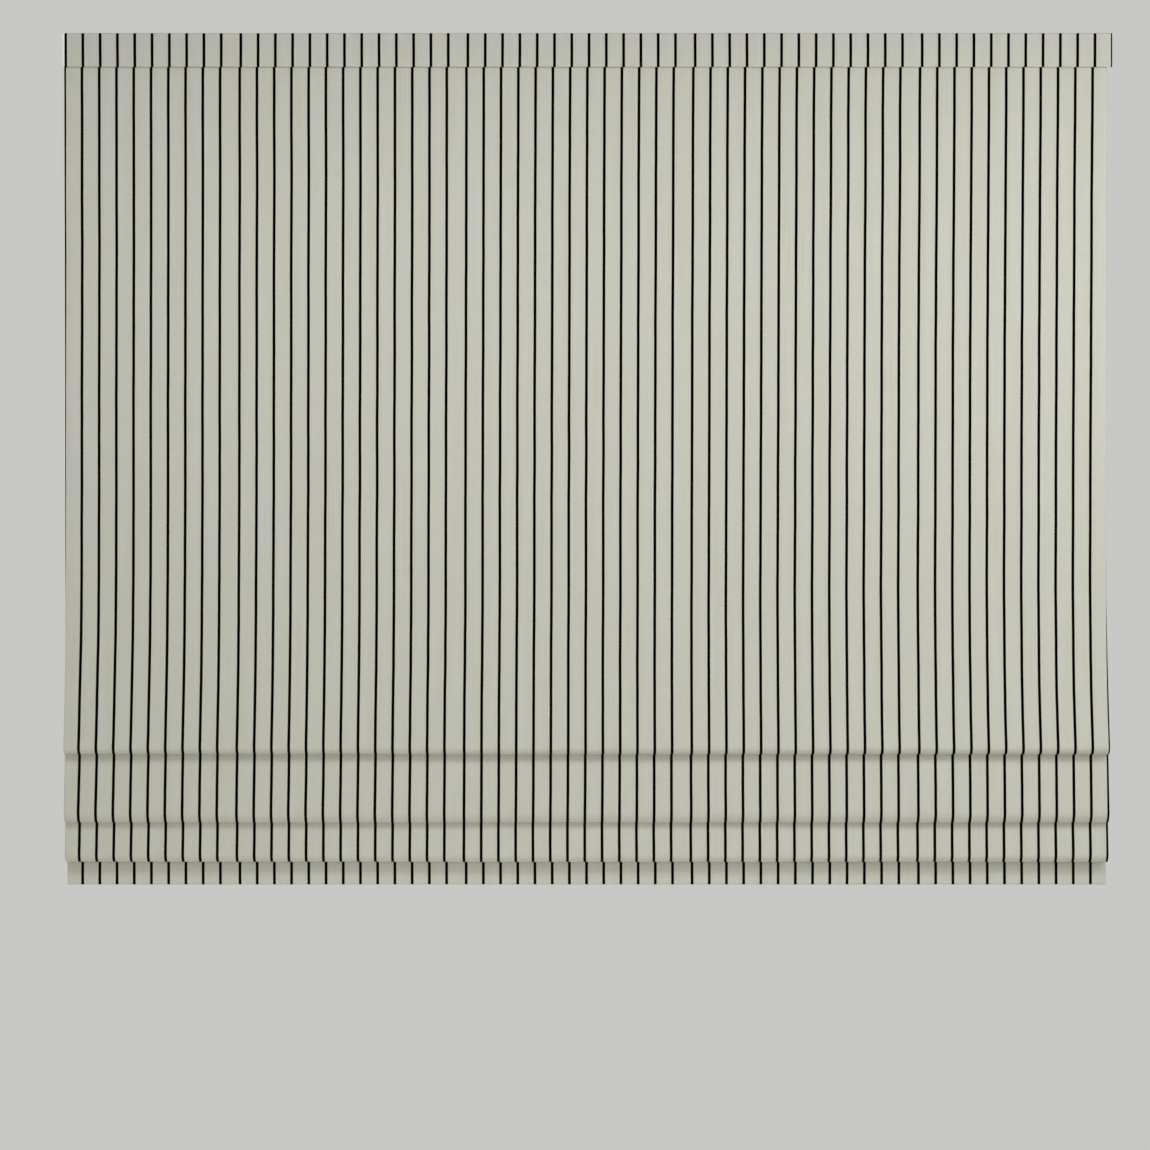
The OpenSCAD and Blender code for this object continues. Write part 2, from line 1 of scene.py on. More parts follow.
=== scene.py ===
import bmesh
import bpy
import numpy as np
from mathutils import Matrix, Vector


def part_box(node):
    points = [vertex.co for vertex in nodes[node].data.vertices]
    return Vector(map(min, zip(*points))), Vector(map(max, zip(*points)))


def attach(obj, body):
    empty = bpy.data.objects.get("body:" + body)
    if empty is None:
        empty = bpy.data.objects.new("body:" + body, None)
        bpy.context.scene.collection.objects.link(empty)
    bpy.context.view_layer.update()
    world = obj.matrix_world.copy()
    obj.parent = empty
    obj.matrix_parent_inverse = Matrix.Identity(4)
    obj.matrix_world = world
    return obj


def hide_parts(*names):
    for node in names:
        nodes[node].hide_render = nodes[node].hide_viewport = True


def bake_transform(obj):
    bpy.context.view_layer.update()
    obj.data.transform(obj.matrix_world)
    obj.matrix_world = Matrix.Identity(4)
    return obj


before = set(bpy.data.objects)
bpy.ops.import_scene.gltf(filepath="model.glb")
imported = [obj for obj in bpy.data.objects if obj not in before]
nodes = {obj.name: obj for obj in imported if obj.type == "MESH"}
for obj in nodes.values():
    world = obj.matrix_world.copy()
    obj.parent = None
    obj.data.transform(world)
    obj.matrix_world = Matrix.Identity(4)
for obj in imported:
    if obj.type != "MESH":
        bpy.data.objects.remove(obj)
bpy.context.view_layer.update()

# All sizes are in metres and all angles in radians. +X runs across the width, +Z is up, the front faces -Y.

# Camera: level, square to the front, at the height and distance of the photograph
CAMERA_AT = (-0.0178, -5.0647, -0.7622)
LENS_MM = 107.84
SENSOR_MM = 36.0

# Stage: a pale floor as far below the shade as a room's floor, and the colour behind it
FLOOR_Z = -2.15
FLOOR_LOW = (-6.0, -8.0)
FLOOR_HIGH = (6.0, 2.9)
FLOOR_COLOUR = (0.80, 0.795, 0.775, 1)
BACKDROP_COLOUR = (0.58, 0.575, 0.56, 1)
FLOOR_GLOW = 0.50
AMBIENT_COLOUR = (1.0, 0.995, 0.98, 1)
AMBIENT_STRENGTH = 0.258

# Soft lamps as (name, place, aim, width, height, watts, colour)
WHITE_LIGHT = (1, 1, 1)
WARM_LIGHT = (1, 0.95, 0.85)
LAMPS = [
    ("right", (1.7, -0.9, -0.36), (0.2, 0, -0.6), 0.8, 0.6, 6.8, WHITE_LIGHT),
    ("left", (-2.3, -3.1, -0.60), (-0.25, 0, -0.6), 2.2, 1.8, 10.2, WHITE_LIGHT),
    ("front", (0, -5.6, -0.60), (0, 0, -0.7), 3.0, 2.8, 51, WHITE_LIGHT),
    ("brow", (0.32, -0.95, 0.05), (0.32, -0.18, -1.6), 2.8, 0.35, 13.4, WHITE_LIGHT),
    ("below", (0, -0.80, -1.95), (0, 0, -1.0), 2.0, 0.4, 4.3, WARM_LIGHT),
    ("rear", (-1.2, 3.2, 0.8), (0, 0, -0.6), 2.4, 1.8, 75, WHITE_LIGHT),
]

# Cloth and how it is sewn
FACE_T = 0.0008
LINING_T = 0.0005
SEW_GAP = 0.0001
LINING_MID = FACE_T / 2 + SEW_GAP + LINING_T / 2
LINING_BACK = FACE_T / 2 + SEW_GAP + LINING_T
TURNED_MID = LINING_BACK + SEW_GAP + FACE_T / 2
SIDE_HEM_W = 0.038
SIDE_STITCH_IN = 0.005
LINING_INSET = 0.001

# Panel and tiers: the drop to each fold's edge from the one above, how far each tier's front lies behind the
# panel's, how far it swings forward below the fold above, and the roll at its front
EDGE_DROPS = (1.047, 0.099, 0.058)
TIER_BACKS = (0, 0.0045, 0.014)
TIER_SWINGS = (0, 0.011, 0.0055)
ROLL_RS = (0.010, 0.018, 0.011)
ROLL_GAP = 0.0005
FOLD_R = 0.0035
FOLD_DEPTH = 0.013
KNEE_R = 0.040
HEM_BACK = 0.033
LEAN = 0.011
SWEEP = 0.029
SWEEP_H = 0.258
LEAN_START = 0.004

# Rod pockets and the turns over the gathered rods
ROD_TURN_R = 0.0025
POCKET_R = 0.0029
POCKET_WALL = 0.0006
POCKET_SINK = 0.0003
POCKET_LIFT = LINING_BACK + POCKET_R - POCKET_SINK
TAPE_H = 0.018
TAPE_T = 0.0004
FLAT_RODS = 3

# Hem around the bottom bar
HEM_R = 0.0023
HEM_POCKET_H = 0.0258
HEM_CLOSE = 0.010
HEM_SEAM = 0.008
FLAP_GAP = 0.001

# Cloth on the head band: how far it laps onto the board's back, its corners, and its face's crown with the
# waves along it as (share, length, phase)
BAND_RETURN = 0.015
BAND_CORNER_R = 0.0012
BAND_CROWN = 0.00035
BAND_WAVES = [(0.5, 0.37, 0), (0.3, 0.113, 1)]

# How the cloth hangs off its section: waves across the width as (height, length, phase), weaker in the stack,
# and a slight skew
HANG_WAVES = [(0.00045, 0.93, 0.4), (0.00030, 0.41, 2.1), (0.00012, 0.17, 4.4)]
HANG_SLANT = 1.7
HANG_IN_STACK = 0.35
SKEW_TOP = -0.0024
SKEW_LOW = -0.0008
SKEW_FROM = 0.70
SKEW_TO = 1.00

# Stripes: thirteen to a repeat, one wider gap, the unevenness of each, and the slow drift of the pattern down
# the cloth
STRIPE_PITCH = 0.025088
STRIPES_IN_REPEAT = 13
STRIPE_REPEAT = 0.329589
STRIPE_W = 0.0042
STRIPE_WOBBLE = 0.0016
STRIPE_FRAY = 0.0003
STRIPE_EDGE = 0.0002
STRIPE_START = -0.502737
DRIFT_RUNS = (0, 0.75, 1.05, 1.25, 1.60, 1.90)
DRIFTS = (-0.0022, -0.0044, -0.0051, -0.0060, -0.0061, -0.0034)

# Thread, cord and knot
THREAD_R = 0.0003
STITCH_L = 0.0036
STITCH_PITCH = 0.0046
STITCH_RINGS = 5
STITCH_SIDES = 6
STITCH_SWELL = 0.86
STITCH_SEAT = 0.5
CORD_R = 0.0007
CORD_SIDES = 8
SPOOL_TURNS = 12
SPOOL_WOUND = 0.0170
KNOT_SCALE = 0.00085
KNOT_DROP = 3 * KNOT_SCALE + CORD_R

# Spacing of the surfaces' rows and columns
ROW_STEP = 0.013
TURN_STEP = np.radians(11)
PANEL_ROWS = (5, 57, 31)
FACE_COLUMNS = 100
TURNED_COLUMNS = 4
EDGE_STEPS = 9
LINING_COLUMNS = 61
POCKET_SIDES = 24
POCKET_COLUMNS = 81
TAPE_ROWS = 7
BAND_ROW_STEP = 0.004
BAND_CORNER_ROWS = 7
BAND_COLUMNS = 200
CORD_ROWS = 110
COIL_SIDES = 24
KNOT_ROWS = 97
CLOSE = 1e-7
SHARP_ANGLE = np.radians(40)

rod_numbers = range(1, 7)
cord_numbers = range(1, 5)
face_low, face_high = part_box("face_fabric")
tape_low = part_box("loop_tape")[0]
band_low, band_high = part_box("valance_fabric")
board_low, board_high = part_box("valance_board")
half_w = face_high.x
rod_boxes = [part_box(f"rod_{k}") for k in rod_numbers]
rods = np.array([[(a.y + b.y) / 2, (a.z + b.z) / 2] for a, b in rod_boxes])


# Shader helpers

def node(tree, kind, inputs=None, **settings):
    """A node with its settings, whose inputs are given values or linked to sockets."""
    made = tree.nodes.new(kind)
    for name, value in settings.items():
        setattr(made, name, value)
    for key, value in (inputs or {}).items():
        if isinstance(value, bpy.types.NodeSocket):
            tree.links.new(value, made.inputs[key])
        else:
            made.inputs[key].default_value = value
    return made


def math(tree, operation, a, b=0.0, c=0.0):
    """The result socket of one Math node."""
    return node(tree, "ShaderNodeMath", {0: a, 1: b, 2: c}, operation=operation).outputs[0]


def ramp(tree, value, low, high, to_low=0.0, to_high=1.0):
    """A smooth step of value from low to high, onto to_low to to_high."""
    inputs = {"Value": value, "From Min": low, "From Max": high, "To Min": to_low, "To Max": to_high}
    return node(tree, "ShaderNodeMapRange", inputs, interpolation_type="SMOOTHSTEP").outputs[0]


def mixed(tree, share, a, b):
    """Two colours mixed by a share."""
    made = node(tree, "ShaderNodeMix", {0: share, 6: a, 7: b}, data_type="RGBA")
    return made.outputs[2]


def scaled(tree, vector, factors):
    """A vector times a factor on each axis."""
    return node(tree, "ShaderNodeVectorMath", {0: vector, 1: factors}, operation="MULTIPLY").outputs[0]


def noise(tree, vector, factors, detail=2.0, roughness=0.5):
    """Smooth noise from 0 to 1 of a vector whose axes are scaled by factors, in cells per metre."""
    inputs = {"Vector": scaled(tree, vector, factors), "Scale": 1.0, "Detail": detail, "Roughness": roughness}
    return node(tree, "ShaderNodeTexNoise", inputs).outputs[0]


def bumped(tree, shader, height, strength, distance):
    """Tilts the shader's normal by a height, of which 1 stands distance proud."""
    made = node(tree, "ShaderNodeBump", {"Strength": strength, "Distance": distance, "Height": height})
    tree.links.new(made.outputs[0], shader.inputs["Normal"])


def new_material(name, constants):
    """A Principled material with its constant values on the shader's own sockets."""
    material = bpy.data.materials.new(name)
    material.use_nodes = True
    tree = material.node_tree
    tree.nodes.clear()
    shader = node(tree, "ShaderNodeBsdfPrincipled", constants)
    node(tree, "ShaderNodeOutputMaterial", {"Surface": shader.outputs[0]})
    return material, tree, shader


def cut_place(tree):
    """The place on the flat cut cloth, as (across, along, 0)."""
    return node(tree, "ShaderNodeAttribute", attribute_name="cut").outputs["Vector"]


def object_place(tree):
    """The place in the object's own frame."""
    return node(tree, "ShaderNodeTexCoord").outputs["Object"]


def weave_height(tree, place, pitch):
    """Plain weave: the product of two sines, one across and one along the cloth, from -1 to 1."""
    parts = node(tree, "ShaderNodeSeparateXYZ", {0: place})
    turns = 2 * np.pi / pitch
    across = math(tree, "SINE", math(tree, "MULTIPLY", parts.outputs[0], turns))
    along = math(tree, "SINE", math(tree, "MULTIPLY", parts.outputs[1], turns))
    return math(tree, "MULTIPLY", across, along)


# Camera and stage

def make_camera():
    """A level camera that looks along +Y."""
    data = bpy.data.cameras.new("camera")
    data.lens = LENS_MM
    data.sensor_width = SENSOR_MM
    camera = bpy.data.objects.new("camera", data)
    bpy.context.scene.collection.objects.link(camera)
    camera.location = CAMERA_AT
    camera.rotation_euler = (np.pi / 2, 0, 0)
    bpy.context.scene.camera = camera


def make_lamp(name, place, aim, width, height, watts, colour):
    """A rectangular soft lamp at a place, turned to its aim."""
    data = bpy.data.lights.new(name, "AREA")
    data.shape = "RECTANGLE"
    data.size = width
    data.size_y = height
    data.energy = watts
    data.color = colour
    lamp = bpy.data.objects.new(name, data)
    bpy.context.scene.collection.objects.link(lamp)
    lamp.location = place
    lamp.rotation_euler = (Vector(aim) - Vector(place)).to_track_quat("-Z", "Y").to_euler()


def seen_share(tree):
    """1 where the camera, gloss or glass sees a surface, and 0 where it only lights others."""
    path = tree.nodes.new("ShaderNodeLightPath")
    seen = math(tree, "MAXIMUM", path.outputs["Is Camera Ray"], path.outputs["Is Glossy Ray"])
    return math(tree, "MAXIMUM", seen, path.outputs["Is Transmission Ray"])


def make_world():
    """An even light all round, and a plain backdrop where the camera, gloss or glass looks past the shade."""
    world = bpy.data.worlds.new("studio")
    world.use_nodes = True
    bpy.context.scene.world = world
    tree = world.node_tree
    tree.nodes.clear()
    seen = seen_share(tree)
    light = node(tree, "ShaderNodeBackground", {"Color": AMBIENT_COLOUR, "Strength": AMBIENT_STRENGTH})
    backdrop = node(tree, "ShaderNodeBackground", {"Color": BACKDROP_COLOUR, "Strength": 1.0})
    mix = node(tree, "ShaderNodeMixShader", {0: seen, 1: light.outputs[0], 2: backdrop.outputs[0]})
    node(tree, "ShaderNodeOutputWorld", {"Surface": mix.outputs[0]})


def make_floor():
    """A flat pale floor, well below the shade. It glows a little where it is seen, so that it is as pale as
    the backdrop and still shows the shadow."""
    corners = [(x, y, FLOOR_Z) for x, y in (
        FLOOR_LOW, (FLOOR_HIGH[0], FLOOR_LOW[1]), FLOOR_HIGH, (FLOOR_LOW[0], FLOOR_HIGH[1]))]
    mesh = bpy.data.meshes.new("floor")
    mesh.from_pydata(corners, [], [(0, 1, 2, 3)])
    floor = bpy.data.objects.new("floor", mesh)
    bpy.context.scene.collection.objects.link(floor)
    constants = {"Base Color": FLOOR_COLOUR, "Roughness": 0.8, "Emission Color": BACKDROP_COLOUR}
    material, tree, shader = new_material("floor", constants)
    glow = math(tree, "MULTIPLY", seen_share(tree), FLOOR_GLOW)
    tree.links.new(glow, shader.inputs["Emission Strength"])
    mesh.materials.append(material)


# Materials

WARM_GROUND = (0.505, 0.492, 0.418, 1)
COOL_GROUND = (0.500, 0.508, 0.462, 1)
STRIPE_BLACK = (0.0015, 0.0015, 0.0016, 1)
LINING_TONES = ((0.74, 0.73, 0.695, 1), (0.83, 0.825, 0.80, 1))
THREAD_TONES = ((0.60, 0.59, 0.55, 1), (0.78, 0.77, 0.73, 1))
CORD_TONES = ((0.62, 0.61, 0.57, 1), (0.84, 0.83, 0.80, 1))
FIBRE_TONES = ((0.66, 0.60, 0.44, 1), (0.82, 0.78, 0.64, 1))

# Threads: the pitch of each weave and of the braid, and how far yarn, weft and slubs change the ground's tone
FACE_WEAVE = 0.0013
LINING_WEAVE = 0.0010
BRAID_PITCH = 0.0016
BRAID_STRANDS = 4
YARN_TONE = 0.10
WEFT_TONE = 0.07
SLUB_TONE = 0.06


def swing(tree, value, reach, middle=0.0):
    """A value of 0 to 1 as a swing of this reach, half of it to each side of a middle."""
    return math(tree, "MULTIPLY_ADD", value, reach, middle - reach / 2)


def stripe_share(tree, place):
    """1 on a stripe and 0 between them. The place across is taken modulo the repeat. Its distance from the
    nearest of the evenly spaced stripes, or from the next repeat's first, is set against half a stripe's
    width."""
    parts = node(tree, "ShaderNodeSeparateXYZ", {0: place})
    wobble = swing(tree, noise(tree, place, (2.5, 7.0, 0), 3.0), STRIPE_WOBBLE)
    across = math(tree, "ADD", parts.outputs[0], wobble)
    across = math(tree, "SUBTRACT", across, STRIPE_START)
    across = math(tree, "FLOORED_MODULO", across, STRIPE_REPEAT)
    nearest = math(tree, "ROUND", math(tree, "DIVIDE", across, STRIPE_PITCH))
    nearest = math(tree, "MINIMUM", nearest, STRIPES_IN_REPEAT - 1)
    apart = math(tree, "SUBTRACT", across, math(tree, "MULTIPLY", nearest, STRIPE_PITCH))
    apart = math(tree, "ABSOLUTE", apart)
    apart = math(tree, "MINIMUM", apart, math(tree, "SUBTRACT", STRIPE_REPEAT, across))
    fray = swing(tree, noise(tree, place, (200, 700, 0), 1.0), STRIPE_FRAY)
    apart = math(tree, "ADD", apart, fray)
    return ramp(tree, apart, STRIPE_W / 2 - STRIPE_EDGE, STRIPE_W / 2 + STRIPE_EDGE, 1.0, 0.0)


def striped_cloth():
    """Warm grey plain weave whose yarns vary along their length, with black stripes woven in."""
    constants = {"Roughness": 0.95, "Specular IOR Level": 0.02, "Sheen Weight": 0.01, "Sheen Roughness": 0.5}
    material, tree, shader = new_material("striped_cloth", constants)
    place = cut_place(tree)
    yarn = noise(tree, place, (620, 5.0, 0), 3.0)
    slub = noise(tree, place, (95, 2.2, 0), 2.0)
    weft = noise(tree, place, (6.0, 540, 0), 2.0)
    tone = math(tree, "MULTIPLY_ADD", yarn, 0.6, math(tree, "MULTIPLY", slub, 0.4))
    tone = ramp(tree, tone, 0.26, 0.74)
    ground = mixed(tree, tone, WARM_GROUND, COOL_GROUND)
    shade = swing(tree, yarn, YARN_TONE, 1.0)
    shade = math(tree, "MULTIPLY", shade, swing(tree, weft, WEFT_TONE, 1.0))
    shade = math(tree, "MULTIPLY", shade, swing(tree, slub, SLUB_TONE, 1.0))
    ground = node(tree, "ShaderNodeVectorMath", {0: ground, "Scale": shade}, operation="SCALE").outputs[0]
    colour = mixed(tree, stripe_share(tree, place), ground, STRIPE_BLACK)
    tree.links.new(colour, shader.inputs["Base Color"])
    height = math(tree, "MULTIPLY_ADD", weave_height(tree, place, FACE_WEAVE), 0.5, yarn)
    bumped(tree, shader, height, 0.30, 0.00018)
    return material


def lining_cloth():
    """White twill lining, with faint yarn streaks."""
    constants = {"Roughness": 0.88, "Specular IOR Level": 0.2, "Sheen Weight": 0.08}
    material, tree, shader = new_material("lining_cloth", constants)
    place = cut_place(tree)
    yarn = noise(tree, place, (700, 8.0, 0), 3.0)
    colour = mixed(tree, yarn, *LINING_TONES)
    tree.links.new(colour, shader.inputs["Base Color"])
    height = math(tree, "MULTIPLY_ADD", weave_height(tree, place, LINING_WEAVE), 0.5, yarn)
    bumped(tree, shader, height, 0.25, 0.00012)
    return material


def sewing_thread():
    """Twisted white thread, ribbed across its length."""
    material, tree, shader = new_material("sewing_thread", {"Roughness": 0.75, "Sheen Weight": 0.1})
    place = object_place(tree)
    twist = noise(tree, place, (2600, 2600, 2600), 1.0)
    colour = mixed(tree, twist, *THREAD_TONES)
    tree.links.new(colour, shader.inputs["Base Color"])
    bumped(tree, shader, twist, 0.3, 0.0001)
    return material


def braided_cord():
    """White braid: two sets of strands that cross as they wind round the cord."""
    material, tree, shader = new_material("braided_cord", {"Roughness": 0.7, "Sheen Weight": 0.1})
    parts = node(tree, "ShaderNodeSeparateXYZ", {0: cut_place(tree)})
    round_it = math(tree, "MULTIPLY", parts.outputs[0], 2 * np.pi * BRAID_STRANDS)
    along_it = math(tree, "MULTIPLY", parts.outputs[1], 2 * np.pi / BRAID_PITCH)
    left = math(tree, "SINE", math(tree, "ADD", along_it, round_it))
    right = math(tree, "SINE", math(tree, "SUBTRACT", along_it, round_it))
    strands = math(tree, "MULTIPLY_ADD", math(tree, "MULTIPLY", left, right), 0.5, 0.5)
    colour = mixed(tree, strands, *CORD_TONES)
    tree.links.new(colour, shader.inputs["Base Color"])
    bumped(tree, shader, strands, 0.6, 0.00015)
    return material


def pile_tape(name, dark, light, cells):
    """Hook or loop tape: a fine dense pile in a colour between two tones."""
    material, tree, shader = new_material(name, {"Roughness": 0.95, "Sheen Weight": 0.3})
    pile = noise(tree, object_place(tree), (cells, cells, cells), 2.0)
    tree.links.new(mixed(tree, ramp(tree, pile, 0.35, 0.65), dark, light), shader.inputs["Base Color"])
    bumped(tree, shader, pile, 0.8, 0.0006)
    return material


def moulded(name, dark, light, roughness, cells=900, strength=0.12):
    """Moulded plastic or powder coat: slow changes of tone and a fine even grain."""
    material, tree, shader = new_material(name, {"Roughness": roughness, "Specular IOR Level": 0.4})
    place = object_place(tree)
    tone = noise(tree, place, (9, 9, 9), 3.0)
    tree.links.new(mixed(tree, ramp(tree, tone, 0.3, 0.7), dark, light), shader.inputs["Base Color"])
    bumped(tree, shader, noise(tree, place, (cells, cells, cells), 2.0), strength, 0.0002)
    return material


def drawn_metal(name, dark, light, roughness, factors):
    """Rolled or plated metal: streaks along the way it was drawn, in tone, roughness and height."""
    material, tree, shader = new_material(name, {"Metallic": 1.0})
    place = object_place(tree)
    streak = noise(tree, place, factors, 3.0)
    cloud = noise(tree, place, (30, 30, 30), 3.0)
    tone = math(tree, "MULTIPLY_ADD", cloud, 0.5, math(tree, "MULTIPLY", streak, 0.5))
    tree.links.new(mixed(tree, ramp(tree, tone, 0.3, 0.7), dark, light), shader.inputs["Base Color"])
    tree.links.new(ramp(tree, tone, 0.2, 0.8, roughness - 0.08, roughness + 0.08), shader.inputs["Roughness"])
    bumped(tree, shader, streak, 0.08, 0.0002)
    return material


def glass_fibre():
    """Ivory rod with fibres drawn along it under a clear resin."""
    material, tree, shader = new_material("glass_fibre", {"Roughness": 0.32, "Coat Weight": 0.3})
    fibres = noise(tree, object_place(tree), (6, 1500, 1500), 3.0)
    colour = mixed(tree, ramp(tree, fibres, 0.3, 0.7), *FIBRE_TONES)
    tree.links.new(colour, shader.inputs["Base Color"])
    bumped(tree, shader, fibres, 0.1, 0.0001)
    return material


# Surfaces

def grid_faces(rows, columns):
    """Quads of a grid whose points are numbered row by row."""
    corner = (np.arange(rows - 1)[:, None] * columns + np.arange(columns - 1)).ravel()
    return np.column_stack([corner, corner + columns, corner + columns + 1, corner + 1])


def rim_faces(edge, offset):
    """Quads that join an edge of the outer skin to the same edge of the inner one."""
    return np.column_stack([edge[:-1], edge[1:], edge[1:] + offset, edge[:-1] + offset])


def shell(outer, inner, cut, open_top=False, open_bottom=None):
    """A closed sheet: two skins of one grid and rims along their four edges. open_top leaves the first row's
    rim out, and open_bottom holds, for each column gap of the last row, whether its rim is left out."""
    rows, columns = outer.shape[:2]
    count = rows * columns
    number = np.arange(count).reshape(rows, columns)
    faces = [grid_faces(rows, columns), grid_faces(rows, columns)[:, ::-1] + count]
    faces += [rim_faces(number[:, 0], count), rim_faces(number[:, -1], count)]
    if not open_top:
        faces.append(rim_faces(number[0], count))
    bottom = rim_faces(number[-1], count)
    faces.append(bottom if open_bottom is None else bottom[~open_bottom])
    points = np.concatenate([outer.reshape(-1, 3), inner.reshape(-1, 3)])
    return points, np.concatenate(faces), np.concatenate([cut.reshape(-1, 2)] * 2)


def joined(parts):
    """Several (points, faces, cut) parts as one."""
    starts = np.cumsum([0] + [len(part[0]) for part in parts[:-1]])
    faces = np.concatenate([part[1] + start for part, start in zip(parts, starts)])
    return np.concatenate([part[0] for part in parts]), faces, np.concatenate([part[2] for part in parts])


def make_piece(name, part, material):
    """A mesh object from points, quads and places on the cut cloth, merged, with its faces outwards."""
    points, faces, cut = part
    mesh = bpy.data.meshes.new(name)
    mesh.from_pydata(points.tolist(), [], faces.tolist())
    places = np.column_stack([cut, np.zeros(len(cut))]).astype(np.float32)
    mesh.attributes.new("cut", "FLOAT_VECTOR", "POINT").data.foreach_set("vector", places.ravel())
    work = bmesh.new()
    work.from_mesh(mesh)
    bmesh.ops.remove_doubles(work, verts=work.verts, dist=CLOSE)
    bmesh.ops.recalc_face_normals(work, faces=work.faces)
    work.to_mesh(mesh)
    work.free()
    mesh.shade_smooth()
    mesh.set_sharp_from_angle(angle=SHARP_ANGLE)
    mesh.materials.append(material)
    piece = bpy.data.objects.new(name, mesh)
    bpy.context.scene.collection.objects.link(piece)
    return piece


def tube(path, outward, radius, sides):
    """Rings of one radius about a path. Each ring starts at the outward direction, squared to the path's
    tangent. The tube's two ends are drawn in to points."""
    tangent = np.gradient(path, axis=0)
    tangent /= np.linalg.norm(tangent, axis=1, keepdims=True)
    first = outward - np.sum(outward * tangent, axis=1, keepdims=True) * tangent
    first /= np.linalg.norm(first, axis=1, keepdims=True)
    second = np.cross(tangent, first)
    angle = np.linspace(0, 2 * np.pi, sides + 1)
    size = np.full(len(path), radius)
    size[[0, -1]] = 0
    ring = first[:, None] * np.cos(angle)[:, None] + second[:, None] * np.sin(angle)[:, None]
    points = path[:, None] + size[:, None, None] * ring
    run = np.concatenate([[0], np.cumsum(np.linalg.norm(np.diff(path, axis=0), axis=1))])
    cut = np.stack(np.meshgrid(run, angle / (2 * np.pi), indexing="ij")[::-1], axis=-1)
    return points.reshape(-1, 3), grid_faces(len(path), sides + 1), cut.reshape(-1, 2)


def stitches(at, along, out):
    """One arched thread at each place: rings of points that run along the seam and swell in the middle by a
    cosine, with two quads on each end."""
    share = np.linspace(-0.5, 0.5, STITCH_RINGS)
    swell = np.cos(np.pi * share * STITCH_SWELL)
    angle = np.arange(STITCH_SIDES) * 2 * np.pi / STITCH_SIDES
    side = np.cross(along, out)
    reach = (share * STITCH_L)[None, :, None, None] * along[:, None, None, :]
    rise = THREAD_R * swell[:, None] * (STITCH_SEAT + np.sin(angle))
    wide = THREAD_R * swell[:, None] * np.cos(angle)
    points = at[:, None, None, :] + reach
    points = points + rise[None, :, :, None] * out[:, None, None, :]
    points = points + wide[None, :, :, None] * side[:, None, None, :]
    first = np.arange(STITCH_RINGS - 1)[:, None] * STITCH_SIDES
    ring = first + np.arange(STITCH_SIDES)
    turn = first + (np.arange(STITCH_SIDES) + 1) % STITCH_SIDES
    walls = np.stack([ring, turn, turn + STITCH_SIDES, ring + STITCH_SIDES], axis=-1).reshape(-1, 4)
    cap = np.array([[0, 1, 2, 3], [0, 3, 4, 5]])
    one = np.concatenate([walls, cap, cap + STITCH_SIDES * (STITCH_RINGS - 1)])
    faces = (np.arange(len(at)) * STITCH_RINGS * STITCH_SIDES)[:, None, None] + one
    points = points.reshape(-1, 3)
    return points, faces.reshape(-1, 4), np.zeros((len(points), 2))


# The section of the hanging cloth: rows of (depth, height, heading), from its top to the end of the hem

def left_of(heading):
    """Unit vectors to the left of headings, as (depth, height): towards the lining."""
    return np.stack([-np.sin(heading), np.cos(heading)], axis=-1)


def turn_point(turn, heading):
    """The point of a turn where the cloth has a heading."""
    y, z, radius, sense = turn
    return np.array([y, z]) - sense * radius * left_of(heading)


def turn_rows(turn, start, stop):
    """An arc about a turn's centre, with headings evenly from one to the other."""
    heading = np.linspace(start, stop, max(3, int(np.ceil(abs(stop - start) / TURN_STEP))) + 1)
    return np.column_stack([turn_point(turn, heading), heading])


def leg_heading(a, b):
    """Heading of the straight leg that leaves turn a and meets turn b, tangent to both."""
    apart = b[:2] - a[:2]
    return np.arctan2(apart[1], apart[0]) + np.arcsin((a[3] * a[2] - b[3] * b[2]) / np.hypot(*apart))


def leg_rows(start, stop, heading):
    """Rows evenly between two points, both left out."""
    steps = max(2, int(np.ceil(np.hypot(*(stop - start)) / ROW_STEP)))
    share = np.arange(1, steps)[:, None] / steps
    return np.column_stack([start + share * (stop - start), np.full(steps - 1, heading)])


def panel_rows(top_y, mid_y, lean_z, mid_z, end_z):
    """The flat panel: upright behind the band, then two parabolas in depth that meet at its middle."""
    top = np.linspace(face_high.z, lean_z, PANEL_ROWS[0])[:-1]
    upper = np.linspace(lean_z, mid_z, PANEL_ROWS[1])[:-1]
    lower = np.linspace(mid_z, end_z, PANEL_ROWS[2])[:-1]
    z = np.concatenate([top, upper, lower])
    up = (z - mid_z) / (lean_z - mid_z)
    down = (mid_z - z) / (mid_z - end_z)
    y = np.where(z > mid_z, mid_y - LEAN * up ** 2, mid_y - SWEEP * down ** 2)
    slope = np.where(z > mid_z, -2 * LEAN * up / (lean_z - mid_z), 2 * SWEEP * down / (mid_z - end_z))
    y[:len(top)] = top_y
    slope[:len(top)] = 0
    return np.column_stack([y, z, np.arctan2(-1, -slope)])


